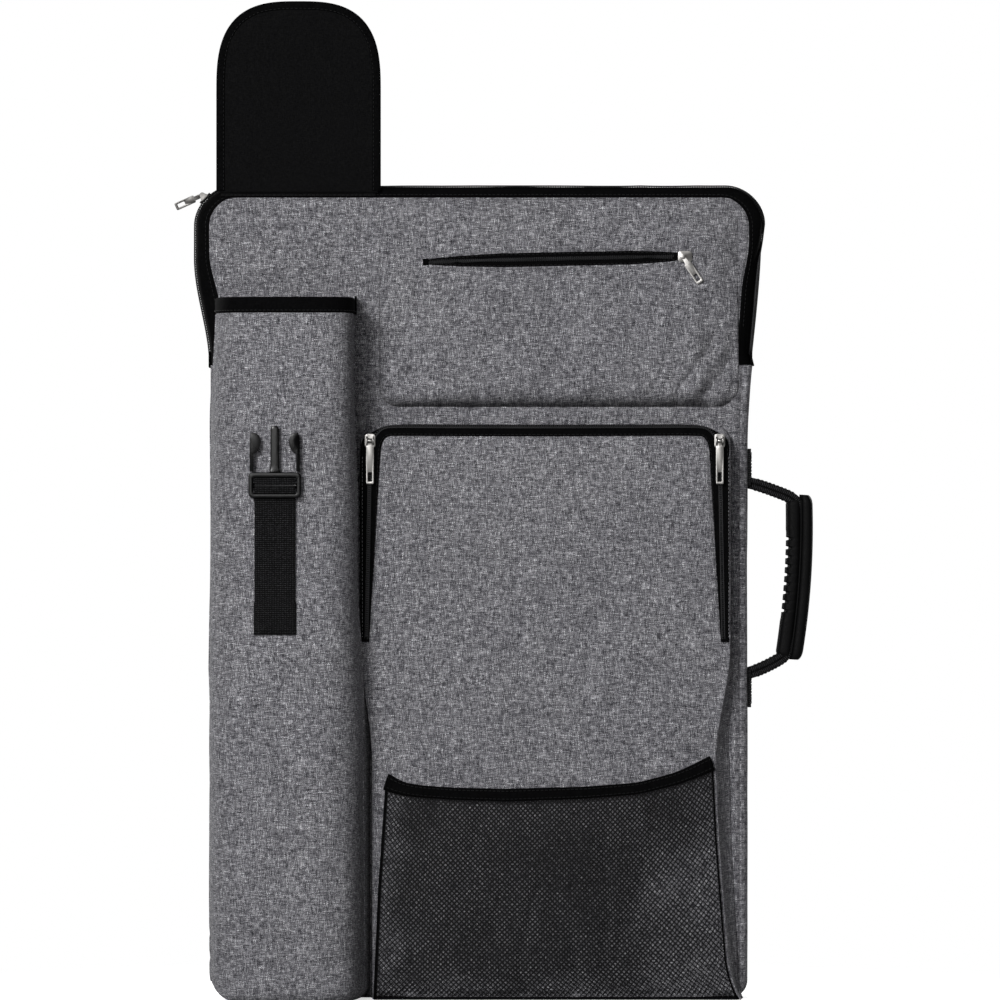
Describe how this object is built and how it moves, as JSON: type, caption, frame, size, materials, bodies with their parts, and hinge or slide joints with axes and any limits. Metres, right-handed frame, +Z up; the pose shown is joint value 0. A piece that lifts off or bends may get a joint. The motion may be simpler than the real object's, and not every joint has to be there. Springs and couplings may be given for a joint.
{
  "type": "art portfolio case",
  "caption": "Upright zipped art portfolio case with tube pocket and buckled flap, zipped and mesh front pockets, side handle and shoulder straps.",
  "frame": {"origin": "middle of the flat bottom of the gusset the case stands on", "axes": "+X to the case's right seen from the front, +Y to the back, +Z up"},
  "size_m": [0.5087, 0.1464, 0.7884],
  "materials": {
    "grey_canvas": "heather linen-look polyester weave",
    "black_fabric": "plain black polyester",
    "black_webbing": "ribbed black webbing",
    "foam": "soft foam",
    "board": "stiff sheet",
    "buckle_plastic": "black acetal",
    "metal": "nickel-plated zinc",
    "grip": "matt moulded grip",
    "mesh": "open diamond net"
  },
  "bodies": {
    "case": {"back_panel": "grey_canvas", "back_board": "board", "back_lining": "black_fabric", "front_panel": "grey_canvas", "front_foam": "foam", "front_lining": "black_fabric", "side_gusset": "grey_canvas", "bottom_board": "board", "main_zip_tape_front": "black_fabric", "main_zip_tape_back": "black_fabric", "main_zip_coils": "buckle_plastic", "tube_pocket_shell": "grey_canvas", "tube_pocket_binding": "black_fabric", "tube_flap_hem": "grey_canvas", "buckle_strap_patch": "black_webbing", "upper_pocket_front": "grey_canvas", "upper_zip_lips": "black_fabric", "front_pocket_panel": "grey_canvas", "front_pocket_gusset": "grey_canvas", "front_zip_tape_outer": "black_fabric", "front_zip_tape_inner": "black_fabric", "front_zip_coils": "buckle_plastic", "mesh_pocket": "mesh", "mesh_pocket_binding": "black_fabric", "handle_anchors": "black_webbing", "strap_top_anchor": "black_webbing", "strap_webbing_left": "black_webbing", "strap_webbing_right": "black_webbing", "strap_bottom_anchors": "grey_canvas"},
    "tube_flap": {"tube_flap_shell": "grey_canvas", "tube_flap_foam": "foam", "tube_flap_lining": "black_fabric", "tube_flap_binding": "black_fabric", "flap_strap_patch": "black_webbing"},
    "flap_strap": {"flap_strap": "black_webbing", "buckle_socket": "buckle_plastic"},
    "buckle_strap": {"buckle_strap": "black_webbing", "buckle_plug": "buckle_plastic"},
    "prong_left": {"buckle_prong_left": "buckle_plastic"},
    "prong_right": {"buckle_prong_right": "buckle_plastic"},
    "main_slider": {"main_zip_slider": "metal"},
    "main_pull": {"main_zip_pull": "metal"},
    "upper_slider": {"upper_zip_slider": "metal"},
    "upper_pull": {"upper_zip_pull": "metal"},
    "front_slider_left": {"front_zip_slider_left": "metal"},
    "front_pull_left": {"front_zip_pull_left": "metal"},
    "front_slider_right": {"front_zip_slider_right": "metal"},
    "front_pull_right": {"front_zip_pull_right": "metal"},
    "handle": {"handle_webbing": "black_webbing", "handle_grip_outer": "grip", "handle_grip_inner": "grip"},
    "strap_left": {"shoulder_strap_left": "grey_canvas", "strap_loop_left": "black_webbing", "ladder_lock_left": "buckle_plastic"},
    "strap_right": {"shoulder_strap_right": "grey_canvas", "strap_loop_right": "black_webbing", "ladder_lock_right": "buckle_plastic"}
  },
  "joints": [
    {"name": "flap_fold", "type": "hinge", "parent": "case", "child": "tube_flap", "pos_m": [-0.1425, -0.0215, 0.636], "axis": [1, 0, 0], "range_deg": [0, 131]},
    {"name": "flap_strap_swing", "type": "hinge", "parent": "tube_flap", "child": "flap_strap", "pos_m": [-0.159, -0.0169, 0.7884], "axis": [1, 0, 0], "range_deg": [0, 229]},
    {"name": "buckle_strap_lift", "type": "hinge", "parent": "case", "child": "buckle_strap", "pos_m": [-0.159, -0.1073, 0.314], "axis": [1, 0, 0], "range_deg": [0, 165]},
    {"name": "prong_left_squeeze", "type": "hinge", "parent": "buckle_strap", "child": "prong_left", "pos_m": [-0.1771, -0.1112, 0.415], "axis": [0, 1, 0], "range_deg": [0, 6], "stiffness_Nm_per_rad": 0.5},
    {"name": "prong_right_squeeze", "type": "hinge", "parent": "buckle_strap", "child": "prong_right", "pos_m": [-0.1409, -0.1112, 0.415], "axis": [0, -1, 0], "range_deg": [0, 6], "stiffness_Nm_per_rad": 0.5},
    {"name": "main_zip_travel", "type": "slide", "parent": "case", "child": "main_slider", "axis": [1, 0, 0], "range_m": [0, 0.38]},
    {"name": "main_pull_swing", "type": "hinge", "parent": "main_slider", "child": "main_pull", "pos_m": [-0.21932, 0, 0.63482], "axis": [0, 1, 0], "range_deg": [-20, 160]},
    {"name": "upper_zip_travel", "type": "slide", "parent": "case", "child": "upper_slider", "axis": [-1, 0, 0], "range_m": [0, 0.195]},
    {"name": "upper_pull_swing", "type": "hinge", "parent": "upper_slider", "child": "upper_pull", "pos_m": [0.1607, -0.0328, 0.5855], "axis": [0, 1, 0], "range_deg": [-56, 124]},
    {"name": "front_zip_left_travel", "type": "slide", "parent": "case", "child": "front_slider_left", "axis": [0, 0, -1], "range_m": [0, 0.142]},
    {"name": "front_pull_left_lift", "type": "hinge", "parent": "front_slider_left", "child": "front_pull_left", "pos_m": [-0.0857, -0.0467, 0.44], "axis": [-1, 0, 0], "range_deg": [0, 150]},
    {"name": "front_zip_right_travel", "type": "slide", "parent": "case", "child": "front_slider_right", "axis": [0, 0, -1], "range_m": [0, 0.142]},
    {"name": "front_pull_right_lift", "type": "hinge", "parent": "front_slider_right", "child": "front_pull_right", "pos_m": [0.1896, -0.0467, 0.44], "axis": [-1, 0, 0], "range_deg": [0, 150]},
    {"name": "handle_swing", "type": "hinge", "parent": "case", "child": "handle", "pos_m": [0.2261, 0, 0.332], "axis": [0, 0, 1], "range_deg": [-40, 40]},
    {"name": "strap_left_swing", "type": "hinge", "parent": "case", "child": "strap_left", "pos_m": [-0.052, 0.0238, 0.603], "axis": [1, 0, 0], "range_deg": [0, 18]},
    {"name": "strap_right_swing", "type": "hinge", "parent": "case", "child": "strap_right", "pos_m": [0.052, 0.0238, 0.603], "axis": [1, 0, 0], "range_deg": [0, 18]}
  ]
}
